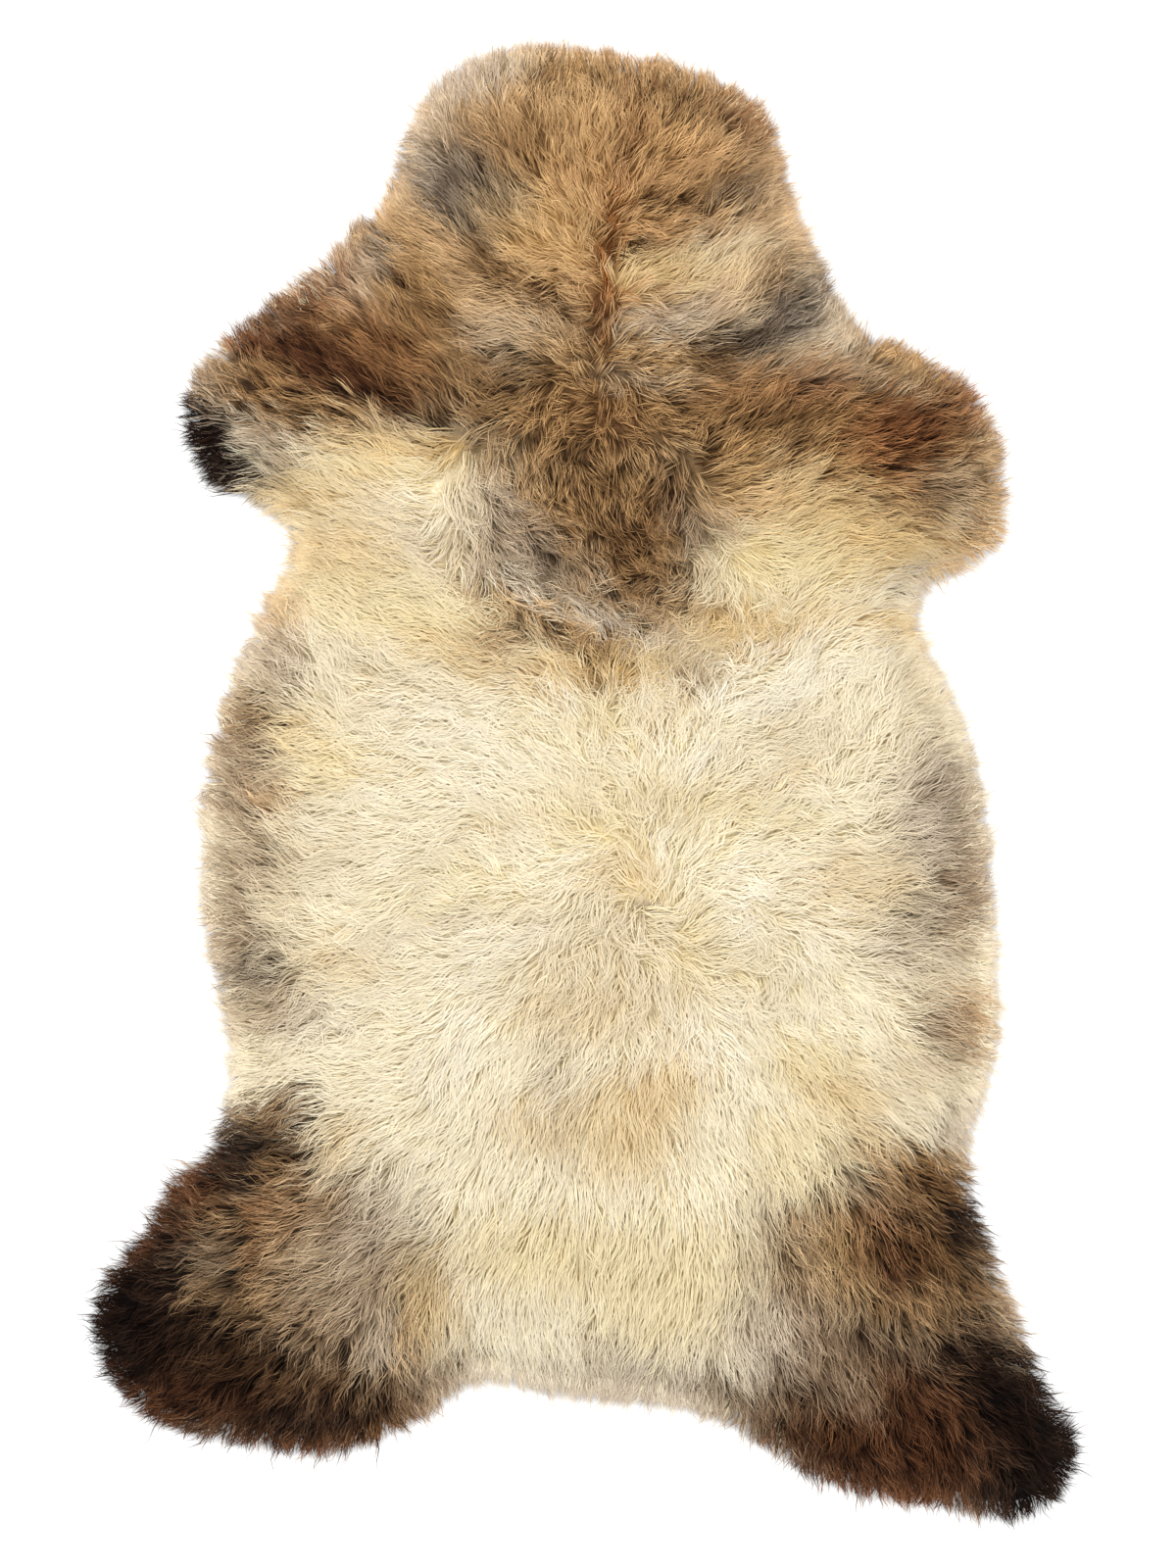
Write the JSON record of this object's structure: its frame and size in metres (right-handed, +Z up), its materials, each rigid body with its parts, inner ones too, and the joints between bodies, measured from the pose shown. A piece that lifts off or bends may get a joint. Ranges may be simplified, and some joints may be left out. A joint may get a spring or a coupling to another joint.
{
  "type": "sheepskin rug",
  "caption": "Full-length sheepskin lying flat, wool side up: a flat tanned skin in the outline of the animal, with a deep lumpy fleece and loose locks round its rim.",
  "frame": {"origin": "on the floor, under the middle of the skin's bounding box", "axes": "+Z up out of the floor, +Y along the skin towards its neck, +X across it towards the right foreleg as seen from above"},
  "size_m": [0.7608, 1.1386, 0.0461],
  "materials": {
    "wool": "matte long wool, cream on the back and brown to nearly black on the legs"
  },
  "bodies": {
    "root": {"sheepskin": "wool"}
  },
  "joints": []
}
